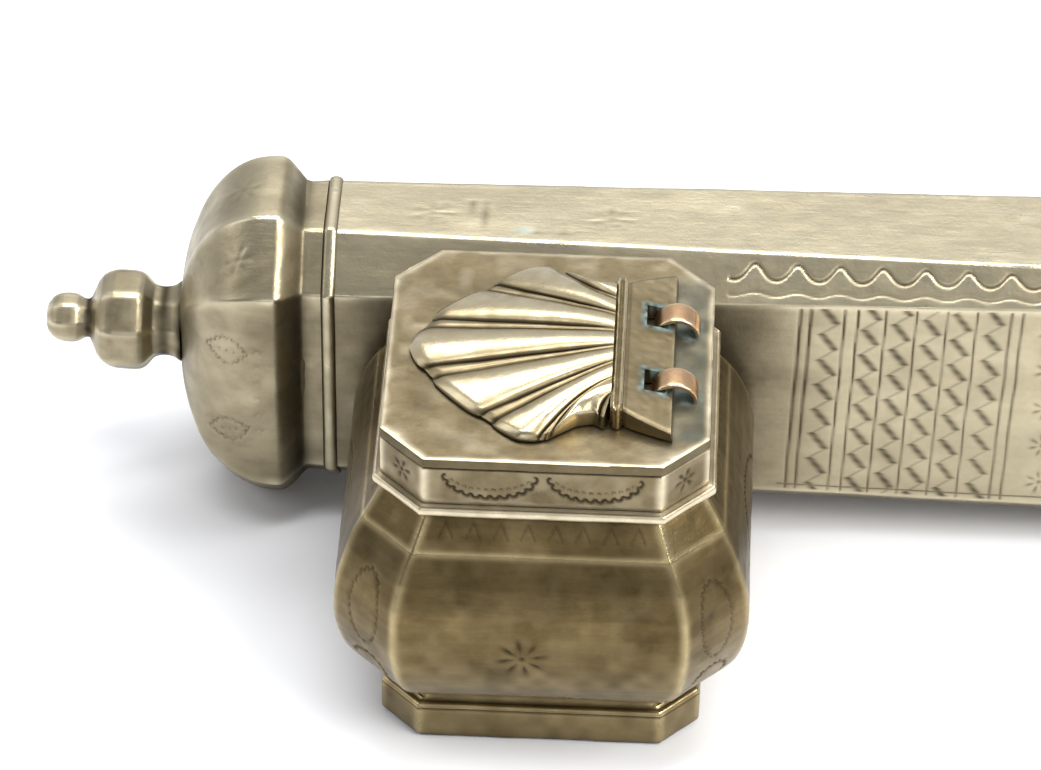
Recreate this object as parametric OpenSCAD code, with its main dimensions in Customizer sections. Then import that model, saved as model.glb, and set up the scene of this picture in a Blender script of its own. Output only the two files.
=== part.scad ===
// Scribe's travelling set: a long brass pen case with a domed, hinged end cap, and a faceted
// inkwell soldered to its front side. The inkwell's cover is a cast scallop shell on two straps.
// Frame: millimetres, +Z up, +X along the pen case away from the cap,
// origin at the middle of the inkwell's foot, on the surface that it stands on.

/* [Inkwell lid] */
// Width and depth of the octagonal lid
lid_w = 36; // [34:0.5:37]
// Corner cut of the lid
lid_cut = 5; // [4:0.25:6]
// Height of the lid's top face above the table
well_h = 41.8; // [41.5:0.1:43]
// Thickness of the lid plate
plate_t = 1.2; // [1:0.1:1.4]
// Height of the lid's upright side, plate included
skirt_h = 6.4; // [6:0.2:7]
// Radius of the dipping hole
port_r = 6; // [5:0.25:7]

/* [Inkwell body] */
// Half width of the body at its widest
bulge_half = 23.1; // [22.5:0.1:24]
// Half width of the foot
foot_half = 18; // [17:0.25:19]
// Height of the foot
foot_h = 5.4; // [5:0.1:6]
// Sheet thickness of the body
well_wall = 1.3; // [1:0.1:1.5]

/* [Shell cover] */
// Opening angle of the shell, for display only
shell_open = 0; // [0:5:100]
// Length of the fluted fan, from the cross bar to its tip
fan_len = 22.6; // [20:0.2:23]
// Number of flutes
flutes = 9; // [7:2:11]
// Height of the fan at the cross bar
fan_h = 3.5; // [3:0.1:4]

/* [Pen case] */
// Length of the tube from its mouth to the closed end
tube_len = 205; // [150:1:240]
// Height of the case
case_h = 36.5; // [36:0.25:37]
// Depth of the case, front to back
case_d = 20.1; // [19:0.1:21]
// Sheet thickness of the case
case_wall = 1; // [0.8:0.1:1.2]
// Edge cut at the mouth
mouth_cut = 5.4; // [5:0.1:5.8]
// Edge cut along the rest of the tube
tube_cut = 3.2; // [3:0.1:4.5]
// How far the two domed ends stand proud of the tube
dome_proud = 2.6; // [2:0.1:3]

/* [Hidden] */

// Colours
brass = [0.62, 0.54, 0.36];
dark_brass = [0.45, 0.37, 0.22];
case_brass = [0.66, 0.59, 0.42];
bright_brass = [0.71, 0.62, 0.42];
copper = [0.69, 0.47, 0.31];
silk = [0.06, 0.06, 0.07];

// Inkwell heights and places
lid_half = lid_w / 2;
skirt_z = well_h - skirt_h;
bead_h = 1.5;
bead_out = 0.7;
bead_z = skirt_z - bead_h;
neck_z = 29.7;
neck_half = 20;
neck_cut = 5.9;
skirt_wall = 1.2;
case_front = lid_half + 0.4;
saddle_t = 0.5;
well_back = case_front - saddle_t;
base_t = 1.2;
ring_wall = 1;
ring_depth = 3;
port_x = -4;
gap = 0.1;

// Body profile below the neck: [height, half width, corner cut]
body_profile = [[neck_z, neck_half, neck_cut], [26.2, 21.6, 6.3], [23, 22.6, 6.6],
                [19.5, bulge_half, 6.9], [16, bulge_half - 0.2, 6.9], [13, 22.3, 6.6],
                [10.6, 21.3, 6.2], [8.8, 20.1, 5.7], [7.4, 18.7, 5], [6.6, 17.7, 4.6],
                [foot_h, 17.2, 4.3]];

// Shell hinge
strap_in_r = 2;
strap_t = 0.6;
strap_w = 3.1;
strap_y = [-5.8, 5.2];
hinge_x = 13.9;
hinge_z = well_h + gap;
bar_w = 1;
slot_len = 2.4;
slot_w = strap_w + 0.3;
clench = 1.3;

// Shell outline, in the shell's own frame: hinge axis at the origin, fan towards -X
crossbar_x = -6.9;
crossbar_w = 1.3;
crossbar_half = 10.4;
fan_root_half = 9.4;
dome_x = -12;
dome_r = 62;
groove_r = 1.1;
fan_angle = 74;
fan_centre_x = crossbar_x - 3;
fan_side_r = 15.6;
tail_root_half = 10.9;
tail_end_half = 13.9;
tail_root_h = 2.5;
tail_end_h = 1.25;
tail_bevel = 12;

// Pen case places
case_z = dome_proud;
axis_y = case_front + case_d / 2;
axis_z = case_z + case_h / 2;
mouth_x = -26.8;
end_x = mouth_x + tube_len;
cut_knee = 100;
rim_w = 1.9;
rim_out = 0.7;
dome_len = 17;
dome_neck = 2.2;
dome_bulge_x = 5.4;
dome_wall = 1.1;
lip_t = 0.5;
lip_reach = 2.4;
lip_hold = 6;
lip_y = axis_y + 2;
tenon_r = 1.5;

// Cap hinge
knuckle_r = 1.4;
knuckle_bore = 0.65;
pin_r = 0.6;
knuckle_axis_y = case_front + case_d + knuckle_r + gap;
knuckle_axis_x = mouth_x - gap / 2;
knuckle_h = 5.2;
knuckle_gap = 0.2;
hinge_half_h = 1.5 * knuckle_h + knuckle_gap;
leaf_t = 0.6;
case_leaf_len = 8;
cap_leaf_len = 2.1;
rivet_r = 0.7;

// ---- helpers ----

// Octagon of half width h with corner cut c, its far side cut off at y = back
function oct(h, c, back) = let (yb = min(h, back), xb = 2 * h - c - yb)
    [[-h + c, -h], [-h, -h + c], [-h, h - c], [-xb, yb], [xb, yb], [h, h - c], [h, -h + c],
     [h - c, -h]];

// The same as a ring of points at height z
function oct_ring(z, h, c, back) = [for (p = oct(h, c, back)) [p[0], p[1], z]];

// Section of the pen case, grown by o, as a ring of points at x
function case_ring(x, o, c) = let (a = case_d / 2 + o, b = case_h / 2 + o, k = c + 0.586 * o)
    [for (p = [[-a, -b + k], [-a, b - k], [-a + k, b], [a - k, b], [a, b - k], [a, -b + k],
               [a - k, -b], [-a + k, -b]])
        [x, axis_y + p[0], axis_z + p[1]]];

// The mouth's section scaled about the case's axis
function scaled_ring(x, o, s) =
    [for (p = case_ring(x, o, mouth_cut))
        [x, axis_y + (p[1] - axis_y) * s, axis_z + (p[2] - axis_z) * s]];

// Regular octagon ring around the case's axis
function knob_ring(x, r) = [for (i = [0:7]) let (a = 22.5 - 45 * i)
    [x, axis_y + r * cos(a), axis_z + r * sin(a)]];

// Skin over rings of equal length; closed joins the last ring to the first
module skin(rings, closed = false) {
    n = len(rings[0]);
    m = len(rings);
    sides = [for (i = [0:m - (closed ? 1 : 2)], j = [0:n - 1], t = [0, 1])
        let (k = (i + 1) % m, l = (j + 1) % n)
        t == 0 ? [i * n + j, i * n + l, k * n + l] : [i * n + j, k * n + l, k * n + j]];
    ends = closed ? [] : [[for (j = [n - 1:-1:0]) j], [for (j = [0:n - 1]) (m - 1) * n + j]];
    polyhedron([for (r = rings) each r], concat(sides, ends));
}

module plate(h, c, z, t, back = 99) {
    translate([0, 0, z]) linear_extrude(t) polygon(oct(h, c, back));
}

// Octagonal band with a wall of thickness w, from z up over t
module band(h, c, z, t, w, back = 99) {
    translate([0, 0, z]) linear_extrude(t) difference() {
        polygon(oct(h, c, back));
        polygon(oct(h - w, c - 0.586 * w, back - w));
    }
}

// ---- inkwell ----

module lid_plate() {
    color(brass) difference() {
        plate(lid_half, lid_cut, well_h - plate_t, plate_t);
        translate([port_x, 0, well_h - 2 * plate_t]) cylinder(h = 3 * plate_t, r = port_r, $fn = 64);
        for (y = strap_y, side = [-1, 1])
            translate([hinge_x + side * (strap_in_r + strap_t / 2), y, well_h])
                cube([strap_t + 2 * gap, strap_w + 2 * gap, 4 * plate_t], center = true);
    }
}

module lid_skirt() {
    color(brass) band(lid_half, lid_cut, skirt_z, skirt_h - plate_t, skirt_wall);
}

module skirt_bead() {
    edge = bead_out * 0.45;
    back = case_front - gap;
    inner = lid_half - skirt_wall;
    inner_cut = lid_cut - 0.586 * skirt_wall;
    function bead_ring(z, out) = oct_ring(z, lid_half + out, lid_cut + 0.586 * out, back);
    color(brass) skin([
        oct_ring(bead_z, inner, inner_cut, back), bead_ring(bead_z, edge),
        bead_ring(bead_z + bead_h * 0.3, bead_out), bead_ring(bead_z + bead_h * 0.7, bead_out),
        bead_ring(skirt_z, edge), oct_ring(skirt_z, inner, inner_cut, back)], closed = true);
}

module well_neck() {
    top_half = lid_half - 0.5;
    w = well_wall;
    color(dark_brass) skin([
        oct_ring(neck_z, neck_half, neck_cut, well_back),
        oct_ring(bead_z, top_half, lid_cut, well_back),
        oct_ring(bead_z, top_half - w, lid_cut - 0.586 * w, well_back - w),
        oct_ring(neck_z, neck_half - w, neck_cut - 0.586 * w, well_back - w)], closed = true);
}

module well_body() {
    w = well_wall;
    n = len(body_profile);
    outer = [for (p = body_profile) oct_ring(p[0], p[1], p[2], well_back)];
    inner = [for (i = [n - 1:-1:0]) let (p = body_profile[i])
        oct_ring(p[0], p[1] - w, p[2] - 0.586 * w, well_back - w)];
    color(dark_brass) skin(concat([for (i = [n - 1:-1:0]) outer[i]],
                                  [for (i = [n - 1:-1:0]) inner[i]]), closed = true);
}

module well_foot() {
    h = foot_half;
    c = 4.3;
    w = well_wall + 0.6;
    color(dark_brass) skin([
        oct_ring(0, h - w, c - 0.586 * w, 99), oct_ring(0, h, c, 99),
        oct_ring(foot_h - 1, h, c, 99), oct_ring(foot_h - 0.4, h - 0.3, c - 0.2, 99),
        oct_ring(foot_h, h - 0.9, c - 0.5, 99), oct_ring(foot_h, h - w, c - 0.586 * w, 99)],
        closed = true);
}

module well_base() {
    w = well_wall + 0.6 + gap / 2;
    color(dark_brass) plate(foot_half - w, 4.3 - 0.586 * w, 0, base_t);
}

// Solder plate between the inkwell's flat back and the pen case
module well_saddle() {
    color(dark_brass) translate([-13, well_back, 10]) cube([26, saddle_t, 19]);
}

module port_ring() {
    color(brass) translate([port_x, 0, well_h - plate_t - ring_depth]) difference() {
        cylinder(h = ring_depth, r = port_r + ring_wall, $fn = 64);
        translate([0, 0, -1]) cylinder(h = ring_depth + 2, r = port_r, $fn = 64);
    }
}

module silk_wad() {
    color(silk) translate([0, 0, base_t + 0.3]) rotate_extrude($fn = 48)
        polygon([[0, 0], [11, 0], [13, 3], [13.4, 8], [11.5, 13], [7, 15.5], [0, 16]]);
}

// ---- shell cover ----

// Edge of the fan at angle t from its middle line, in the shell's own frame
function fan_edge(t) = let (r = fan_side_r + (fan_len - 3 - fan_side_r) * pow(1 - abs(t) / fan_angle, 2),
                            scallop = 0.3 * cos(360 * (t / fan_angle + 1) / 2 * flutes))
    [fan_centre_x - (r - scallop) * cos(t), (r - scallop) * sin(t)];

module fan() {
    steps = 4 * flutes;
    outline = concat([[crossbar_x, -fan_root_half], [crossbar_x - 4.5, -fan_root_half - 0.6]],
                     [for (i = [0:steps]) fan_edge(fan_angle * (2 * i / steps - 1))],
                     [[crossbar_x - 4.5, fan_root_half + 0.6], [crossbar_x, fan_root_half]]);
    difference() {
        intersection() {
            linear_extrude(fan_h + 1) polygon(outline);
            translate([dome_x, 0, fan_h - dome_r]) sphere(r = dome_r, $fn = 96);
        }
        for (i = [1:flutes - 1]) flute_groove(fan_angle * (2 * i / flutes - 1));
    }
}

// Groove between two flutes, from near the hinge out past the fan's edge
module flute_groove(t) {
    inner = [crossbar_x - 1.5, fan_root_half * 0.8 * t / fan_angle];
    outer = fan_edge(t);
    run = outer - inner;
    len = norm(run);
    drop = dome_r - sqrt(dome_r * dome_r - pow(norm(outer - [dome_x, 0]), 2));
    translate([inner[0], inner[1], fan_h + groove_r * 0.45])
        rotate([0, 90 + atan2(drop, len), atan2(run[1], run[0])])
            cylinder(h = len + 3, r = groove_r, $fn = 32);
}

module crossbar() {
    translate([crossbar_x, -crossbar_half, 0]) cube([crossbar_w, 2 * crossbar_half, fan_h + 0.1]);
}

module tail() {
    root = crossbar_x + crossbar_w - 0.3;
    difference() {
        intersection() {
            translate([0, tail_end_half + 1, 0]) rotate([90, 0, 0])
                linear_extrude(2 * tail_end_half + 2)
                    polygon([[root, 0], [0, 0], [-tail_end_h * tan(tail_bevel), tail_end_h],
                             [root, tail_root_h]]);
            linear_extrude(2 * fan_h)
                polygon([[root, -tail_root_half], [0, -tail_end_half], [0, tail_end_half],
                         [root, tail_root_half]]);
        }
        for (y = strap_y)
            translate([-bar_w - slot_len, y - slot_w / 2, -1]) cube([slot_len, slot_w, 6]);
    }
}

module shell_cover() {
    color(bright_brass) translate([hinge_x, 0, hinge_z]) rotate([0, shell_open, 0]) {
        fan();
        crossbar();
        tail();
    }
}

// One hinge strap: an arch over the shell's tail, two legs through the lid, ends clenched below
module strap(y) {
    out_r = strap_in_r + strap_t;
    leg = plate_t + gap;
    color(copper) translate([hinge_x, y + strap_w / 2, hinge_z]) rotate([90, 0, 0])
        linear_extrude(strap_w) {
            difference() {
                circle(r = out_r, $fn = 64);
                circle(r = strap_in_r, $fn = 64);
                translate([-5, -10]) square([10, 10]);
            }
            for (side = [-1, 1]) {
                translate([side * (strap_in_r + strap_t / 2) - strap_t / 2, -leg - strap_t])
                    square([strap_t, leg + strap_t]);
                translate([side * (out_r - clench / 2) - clench / 2, -leg - strap_t])
                    square([clench, strap_t]);
            }
        }
}

module strap_front() { strap(strap_y[0]); }
module strap_rear() { strap(strap_y[1]); }

// ---- pen case ----

module case_tube() {
    w = case_wall;
    color(case_brass) difference() {
        skin([case_ring(mouth_x, 0, mouth_cut), case_ring(mouth_x + cut_knee, 0, tube_cut),
              case_ring(end_x, 0, tube_cut),
              case_ring(end_x, -w, tube_cut), case_ring(mouth_x + cut_knee, -w, tube_cut),
              case_ring(mouth_x, -w, mouth_cut)], closed = true);
        rivet_holes();
    }
}

module case_moulding(x, c, notch) {
    e = gap / 2;
    color(case_brass) difference() {
        skin([for (p = [[0, 0.25], [rim_w * 0.3, rim_out], [rim_w * 0.7, rim_out], [rim_w, 0.25]])
                case_ring(x + p[0], p[1], c)]);
        skin([case_ring(x - 1, e, c), case_ring(x + rim_w + 1, e, c)]);
        if (notch)
            translate([x - 1, axis_y + case_d / 2 - 1, axis_z - hinge_half_h - 0.3])
                cube([rim_w + 2, 5, 2 * hinge_half_h + 0.6]);
    }
}

module case_rim_bead() { case_moulding(mouth_x, mouth_cut, true); }
module case_end_bead() { case_moulding(end_x - rim_w, tube_cut, false); }

// U-shaped tongue inside the mouth, which the cap closes over
module case_lip() {
    w = case_wall + gap / 2;
    color(case_brass) difference() {
        skin([case_ring(mouth_x - lip_reach, -w, mouth_cut),
              case_ring(mouth_x + lip_hold, -w - 0.02, mouth_cut - 0.13),
              case_ring(mouth_x + lip_hold, -w - lip_t, mouth_cut - 0.13),
              case_ring(mouth_x - lip_reach, -w - lip_t, mouth_cut)], closed = true);
        translate([mouth_x - 10, lip_y, 0]) cube([20, 20, 50]);
    }
}

// Distance of the dome's skin beyond the tube at d from the rim, and its scale towards the tip
function dome_out(d) = d < dome_neck ? 0
    : d < dome_bulge_x ? dome_proud * pow(sin(90 * (d - dome_neck) / (dome_bulge_x - dome_neck)), 1.3)
    : dome_proud;
function dome_scale(d) = d < dome_bulge_x ? 1
    : pow(max(0, 1 - pow((d - dome_bulge_x) / (dome_len - dome_bulge_x + 0.25), 2.3)), 1 / 2.3);
dome_stations = [0, 2.2, 3, 3.8, 4.6, 5.4, 8, 10.5, 12.6, 14.2, 15.4, 16.3, 17];

// Domed end, open at x, growing towards side (-1 or 1), with a hole for the knob's tenon
module dome(x, side, rim_wall) {
    outer = [for (d = dome_stations) scaled_ring(x + side * d, dome_out(d), dome_scale(d))];
    last = dome_len - dome_wall;
    inner_d = [for (d = dome_stations) if (d < last) d];
    inner = [for (d = inner_d) let (w = d < dome_neck + 0.9 ? rim_wall : dome_wall)
        scaled_ring(x + side * d, dome_out(d) - w, dome_scale(d + (d > 6 ? 0.8 : 0)))];
    difference() {
        if (side < 0) skin([for (i = [len(outer) - 1:-1:0]) outer[i]]);
        else skin(outer);
        if (side < 0)
            skin(concat([for (i = [len(inner) - 1:-1:0]) inner[i]],
                        [scaled_ring(x + 1, -rim_wall, 1)]));
        else
            skin(concat([scaled_ring(x - 1, -rim_wall, 1)], inner));
        translate([x, axis_y, axis_z]) rotate([0, side * 90, 0])
            cylinder(h = dome_len + 5, r = tenon_r + gap / 2, $fn = 32);
    }
}

module cap_dome() { color(case_brass) dome(mouth_x - gap, -1, case_wall - 0.3); }
module end_dome() { color(case_brass) dome(end_x + gap / 2, 1, case_wall); }

// Knob of stacked eight-sided rings with a round tenon; profile: [distance from the dome, radius]
module knob(x, side, profile) {
    rings = [for (p = profile) knob_ring(x + side * p[0], p[1])];
    n = len(rings);
    color(case_brass) {
        if (side > 0) skin(rings);
        else skin([for (i = [n - 1:-1:0]) rings[i]]);
        translate([x, axis_y, axis_z]) rotate([0, -side * 90, 0])
            cylinder(h = dome_wall + 1.6, r = tenon_r, $fn = 32);
    }
}

finial_profile = [[0, 5.1], [1, 4.4], [2.2, 4.1], [3.2, 4.5], [4.2, 5.7], [5.2, 6.3], [8.2, 6.3],
                  [9.6, 5.4], [10.4, 3.6], [10.9, 2.4], [11.6, 2.5], [12.4, 3.1], [14.2, 3.1],
                  [15.4, 2.5], [16, 1.4]];
button_profile = [[0, 4], [0.8, 4], [1.8, 3.2], [2.3, 1.6]];

module cap_finial() { knob(mouth_x - gap - dome_len, -1, finial_profile); }
module end_button() { knob(end_x + gap / 2 + dome_len, 1, button_profile); }

// Washer inside the dome, over which the tenon's end is riveted
module burr(x, side) {
    color(case_brass) translate([x, axis_y, axis_z]) rotate([0, side * 90, 0]) difference() {
        cylinder(h = 0.7, r = 2.6, $fn = 32);
        translate([0, 0, -1]) cylinder(h = 3, r = tenon_r + gap / 2, $fn = 32);
    }
}

module finial_burr() { burr(mouth_x - gap - dome_len + dome_wall + 0.75, 1); }
module end_burr() { burr(end_x + gap / 2 + dome_len - dome_wall - 0.75, -1); }

// ---- cap hinge, on the back of the case ----

module knuckle(z) {
    translate([knuckle_axis_x, knuckle_axis_y, z]) cylinder(h = knuckle_h, r = knuckle_r, $fn = 48);
}

module hinge_bore() {
    translate([knuckle_axis_x, knuckle_axis_y, axis_z - 20]) cylinder(h = 40, r = knuckle_bore, $fn = 32);
}

module rivet_places() {
    for (z = [-1, 1]) translate([mouth_x + case_leaf_len - 2.5, 0, axis_z + z * 5]) children();
}

module rivet_holes() {
    rivet_places() translate([0, axis_y + case_d / 2 + 3, 0]) rotate([90, 0, 0])
        cylinder(h = 6, r = rivet_r + gap / 2, $fn = 24);
}

module case_hinge_leaf() {
    y = axis_y + case_d / 2 + gap / 2;
    color(case_brass) difference() {
        union() {
            for (z = [axis_z - hinge_half_h, axis_z + hinge_half_h - knuckle_h]) {
                knuckle(z);
                translate([knuckle_axis_x, y, z]) cube([case_leaf_len / 2, leaf_t, knuckle_h]);
            }
            translate([mouth_x + rim_w, y, axis_z - hinge_half_h])
                cube([case_leaf_len - rim_w, leaf_t, 2 * hinge_half_h]);
        }
        hinge_bore();
        rivet_holes();
    }
}

module cap_hinge_leaf() {
    color(case_brass) difference() {
        union() {
            knuckle(axis_z - knuckle_h / 2);
            translate([knuckle_axis_x - cap_leaf_len, axis_y + case_d / 2 + gap / 2, axis_z - knuckle_h / 2])
                cube([cap_leaf_len, leaf_t, knuckle_h]);
        }
        hinge_bore();
    }
}

module cap_hinge_pin() {
    color(brass) translate([knuckle_axis_x, knuckle_axis_y, axis_z - hinge_half_h - 0.6]) {
        cylinder(h = 2 * hinge_half_h + 1.2, r = pin_r, $fn = 32);
        for (z = [0, 2 * hinge_half_h + 0.8]) translate([0, 0, z]) cylinder(h = 0.4, r = 1, $fn = 32);
    }
}

module hinge_rivets() {
    color(brass) rivet_places()
        translate([0, axis_y + case_d / 2 + leaf_t + 0.5, 0]) rotate([90, 0, 0]) {
            cylinder(h = 0.4, r = 1.2, $fn = 32);
            cylinder(h = case_wall + leaf_t + 0.9, r = rivet_r, $fn = 24);
            translate([0, 0, case_wall + leaf_t + 0.6]) cylinder(h = 0.4, r = 1.1, $fn = 32);
        }
}

lid_plate();
lid_skirt();
skirt_bead();
well_neck();
well_body();
well_foot();
well_base();
well_saddle();
port_ring();
silk_wad();
shell_cover();
strap_front();
strap_rear();
case_tube();
case_rim_bead();
case_lip();
case_hinge_leaf();
hinge_rivets();
cap_hinge_pin();
cap_dome();
cap_hinge_leaf();
cap_finial();
finial_burr();
case_end_bead();
end_dome();
end_button();
end_burr();
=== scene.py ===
"""Looks of the brass scribe's set: inkwell with a scallop-shell cover on the side of a long pen case."""

import math

import bpy
import numpy as np
from mathutils import Matrix, Vector


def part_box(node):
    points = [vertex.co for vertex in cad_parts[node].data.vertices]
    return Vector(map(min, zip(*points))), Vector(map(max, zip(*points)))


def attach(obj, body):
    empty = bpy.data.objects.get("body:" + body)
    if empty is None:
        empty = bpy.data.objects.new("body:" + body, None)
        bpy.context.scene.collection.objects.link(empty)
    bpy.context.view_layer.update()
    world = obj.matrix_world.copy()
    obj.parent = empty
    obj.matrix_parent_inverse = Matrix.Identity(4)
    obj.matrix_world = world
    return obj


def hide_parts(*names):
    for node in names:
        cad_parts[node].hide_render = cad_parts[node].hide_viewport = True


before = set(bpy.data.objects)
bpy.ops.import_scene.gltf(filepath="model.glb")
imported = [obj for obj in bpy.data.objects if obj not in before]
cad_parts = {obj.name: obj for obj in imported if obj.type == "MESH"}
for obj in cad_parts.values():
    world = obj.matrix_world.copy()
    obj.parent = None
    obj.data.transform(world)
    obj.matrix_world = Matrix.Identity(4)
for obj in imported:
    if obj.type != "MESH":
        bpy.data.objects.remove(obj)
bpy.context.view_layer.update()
MM = 0.001

# ---------------------------------------------------------------- sizes, in millimetres


def box_mm(node):
    """Low and high corners of a node, in millimetres."""
    lo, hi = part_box(node)
    return np.array(lo) * 1000, np.array(hi) * 1000


LID = box_mm("lid_plate")
SKIRT = box_mm("lid_skirt")
BEAD = box_mm("skirt_bead")
NECK = box_mm("well_neck")
FOOT = box_mm("well_foot")
TUBE = box_mm("case_tube")
DOME = box_mm("cap_dome")
END = box_mm("end_dome")
SHELL = box_mm("shell_cover")
STRAPS = [box_mm("strap_front"), box_mm("strap_rear")]

LID_HALF, LID_CUT = (LID[1][0] - LID[0][0]) / 2, 5.0
WELL_H = LID[1][2]
BACK = 17.9
CASE_D = TUBE[1][1] - TUBE[0][1]
CASE_H = TUBE[1][2] - TUBE[0][2]
AXIS_Y = (TUBE[0][1] + TUBE[1][1]) / 2
AXIS_Z = (TUBE[0][2] + TUBE[1][2]) / 2
MOUTH_X, END_X = TUBE[0][0], TUBE[1][0]
MOUTH_CUT, TUBE_CUT, KNEE = 5.4, 3.2, 100.0
PROUD = 2.6
PORT_X, PORT_R = -4.0, 6.0
WELL_ENGRAVING, CASE_ENGRAVING = 0.22, 0.20

# ---------------------------------------------------------------- noise and pattern helpers


def hash2(i, j, seed=0):
    v = np.sin(i * 127.1 + j * 311.7 + seed * 74.7) * 43758.5453
    return v - np.floor(v)


def noise2(x, y, seed=0):
    """Smooth value noise, -1 to 1."""
    xi, yi = np.floor(x), np.floor(y)
    fx, fy = x - xi, y - yi
    fx, fy = fx * fx * (3 - 2 * fx), fy * fy * (3 - 2 * fy)
    a, b = hash2(xi, yi, seed), hash2(xi + 1, yi, seed)
    c, d = hash2(xi, yi + 1, seed), hash2(xi + 1, yi + 1, seed)
    return ((a * (1 - fx) + b * fx) * (1 - fy) + (c * (1 - fx) + d * fx) * fy) * 2 - 1


def unit(v):
    """Clipped to 0..1."""
    return np.clip(v, 0, 1)


def bell(d, w):
    """Bell curve of half width w."""
    return np.exp(-((d / w) ** 2))


def line(d, w):
    """Groove profile of half width w at distance d, 0 to 1."""
    return np.exp(-((d / w) ** 2) * 1.6)


def segment(u, v, p, q, w):
    """Groove along the segment p to q."""
    p, q = np.array(p, float), np.array(q, float)
    d = q - p
    t = unit(((u - p[0]) * d[0] + (v - p[1]) * d[1]) / (d @ d))
    return line(np.hypot(u - p[0] - t * d[0], v - p[1] - t * d[1]), w)


def arc_mark(u, v, c, r, w, a0, a1):
    """Groove along an arc about c from angle a0 to a1, in degrees."""
    du, dv = u - c[0], v - c[1]
    a = (np.degrees(np.arctan2(dv, du)) - a0) % 360
    inside = a <= (a1 - a0)
    ends = [(c[0] + r * math.cos(math.radians(t)), c[1] + r * math.sin(math.radians(t))) for t in (a0, a1)]
    d = np.where(inside, np.abs(np.hypot(du, dv) - r),
                 np.minimum(np.hypot(u - ends[0][0], v - ends[0][1]),
                            np.hypot(u - ends[1][0], v - ends[1][1])))
    return line(d, w)


def crescents(u, v, path, pitch, r, w, turn=0.0):
    """Small punched crescents spaced along a polyline."""
    g = np.zeros_like(u)
    path = np.array(path, float)
    seg = np.diff(path, axis=0)
    length = np.hypot(seg[:, 0], seg[:, 1])
    at = np.concatenate([[0], np.cumsum(length)])
    n = max(2, int(round(at[-1] / pitch)))
    for k in range(n + 1):
        s = at[-1] * k / n
        i = min(int(np.searchsorted(at, s, side="right")) - 1, len(seg) - 1)
        p = path[i] + seg[i] * (s - at[i]) / length[i]
        a = math.degrees(math.atan2(seg[i][1], seg[i][0])) + turn
        near = (np.abs(u - p[0]) < 3 * r) & (np.abs(v - p[1]) < 3 * r)
        if near.any():
            g[near] = np.maximum(g[near], arc_mark(u[near], v[near], p, r, w, a - 80, a + 80))
    return g


def leaf_spray(u, v, p, q, bulge):
    """Leaf outline of punched crescents from p to q, with a midrib of three dots."""
    p, q = np.array(p, float), np.array(q, float)
    d = q - p
    side = np.array([-d[1], d[0]]) / np.hypot(*d)
    g = np.zeros_like(u)
    for s in (-1, 1):
        path = [p + d * t + side * s * bulge * math.sin(math.pi * t) for t in np.linspace(0, 1, 12)]
        g = np.maximum(g, crescents(u, v, path, 0.85, 0.34, 0.13, 90 * s))
    for t in (0.3, 0.5, 0.7):
        g = np.maximum(g, line(np.hypot(u - p[0] - d[0] * t, v - p[1] - d[1] * t), 0.22))
    return g


def rosette(u, v, c, r, petals, w, seed=0):
    """Punched flower of drop-shaped petals with a dot."""
    du, dv = u - c[0], v - c[1]
    rad = np.hypot(du, dv)
    a = np.arctan2(dv, du) + 0.2 * hash2(c[0], c[1], seed)
    petal = np.abs(((a * petals / (2 * math.pi)) % 1) - 0.5) * 2
    leaf = np.exp(-((rad - r * 0.58) / (r * 0.36)) ** 2 * 1.6) * unit(1.7 * petal - 0.75)
    return unit(np.maximum(leaf, line(rad, w * 1.2)) * (rad < r * 1.15))


# ---------------------------------------------------------------- surfaces


def octagon(h, c, back=99.0):
    yb = min(h, back)
    xb = 2 * h - c - yb
    return np.array([[-h + c, -h], [-h, -h + c], [-h, h - c], [-xb, yb], [xb, yb], [h, h - c], [h, -h + c],
                     [h - c, -h]])


def case_section(o, cut, s=1.0):
    a, b, k = CASE_D / 2 + o, CASE_H / 2 + o, cut + 0.586 * o
    v = np.array([[-a, -b + k], [-a, b - k], [-a + k, b], [a - k, b], [a, b - k], [a, -b + k], [a - k, -b],
                  [-a + k, -b]])
    return v * s


def rounded(V, r, counts, arc=5):
    """Points round polygon V with corners of radius r, each with its side number and place along it."""
    n = len(V)
    pts, side, along = [], [], []
    for k in range(n):
        p, q, m = V[k - 1], V[(k + 1) % n], V[k]
        d0, d1 = (m - p) / np.linalg.norm(m - p), (q - m) / np.linalg.norm(q - m)
        turn = math.acos(max(-1, min(1, float(d0 @ d1))))
        t = min(r * math.tan(turn / 2), 0.42 * np.linalg.norm(m - p), 0.42 * np.linalg.norm(q - m))
        A, B = m - d0 * t, m + d1 * t
        for i in range(arc):
            s = i / (arc - 1)
            pts.append((1 - s) ** 2 * A + 2 * s * (1 - s) * m + s * s * B)
            side.append(k if s > 0.5 else (k - 1) % n)
        nxt, after = V[(k + 1) % n], V[(k + 2) % n]
        e1 = (after - nxt) / np.linalg.norm(after - nxt)
        turn1 = math.acos(max(-1, min(1, float(d1 @ e1))))
        t1 = min(r * math.tan(turn1 / 2), 0.42 * np.linalg.norm(nxt - m), 0.42 * np.linalg.norm(after - nxt))
        C = nxt - d1 * t1
        for i in range(1, counts[k] + 1):
            pts.append(B + (C - B) * i / (counts[k] + 1))
            side.append(k)
    pts, side = np.array(pts), np.array(side)
    along = np.empty(len(pts))
    for k in range(n):
        m, q = V[k], V[(k + 1) % n]
        d = (q - m) / np.linalg.norm(q - m)
        pick = side == k
        along[pick] = (pts[pick] - (m + q) / 2) @ d
    return pts, side, along


def corner_wear(V, pts, width):
    """1 on the arrises, falling to 0 a width away."""
    d = np.min(np.linalg.norm(pts[:, None, :] - V[None, :, :], axis=2), axis=1)
    return bell(d, width)


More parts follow.
